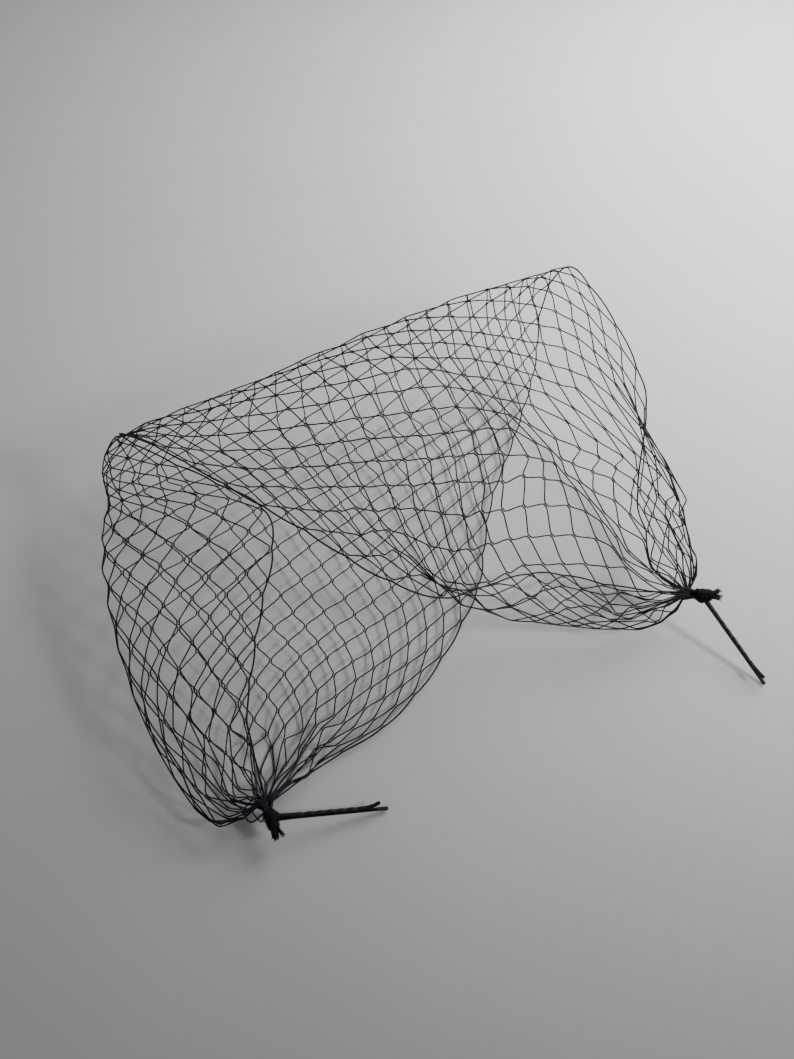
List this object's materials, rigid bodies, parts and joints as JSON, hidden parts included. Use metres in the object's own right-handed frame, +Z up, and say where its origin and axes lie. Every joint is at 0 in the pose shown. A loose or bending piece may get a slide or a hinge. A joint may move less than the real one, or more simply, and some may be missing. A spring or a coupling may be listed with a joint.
{
  "type": "birdcage veil",
  "caption": "Birdcage veil: a folded strip of coarse dark diamond net, gathered to a thread-bound knot at each end and held by bobby pins.",
  "frame": {"origin": "on the table, under the middle of the box round the whole veil", "axes": "+Z up from the table, +Y to the back where the net folds over, +X to the right pin's side"},
  "size_m": [0.3008, 0.27, 0.0725],
  "materials": {
    "net": "stiff dark navy-black nylon yarn, slightly shiny",
    "thread": "matte black sewing thread wound in close turns",
    "pin": "black enamelled crimped spring wire"
  },
  "bodies": {
    "root": {"net": "net", "left_binding": "thread", "right_binding": "thread", "left_pin": "pin", "right_pin": "pin"}
  },
  "joints": []
}
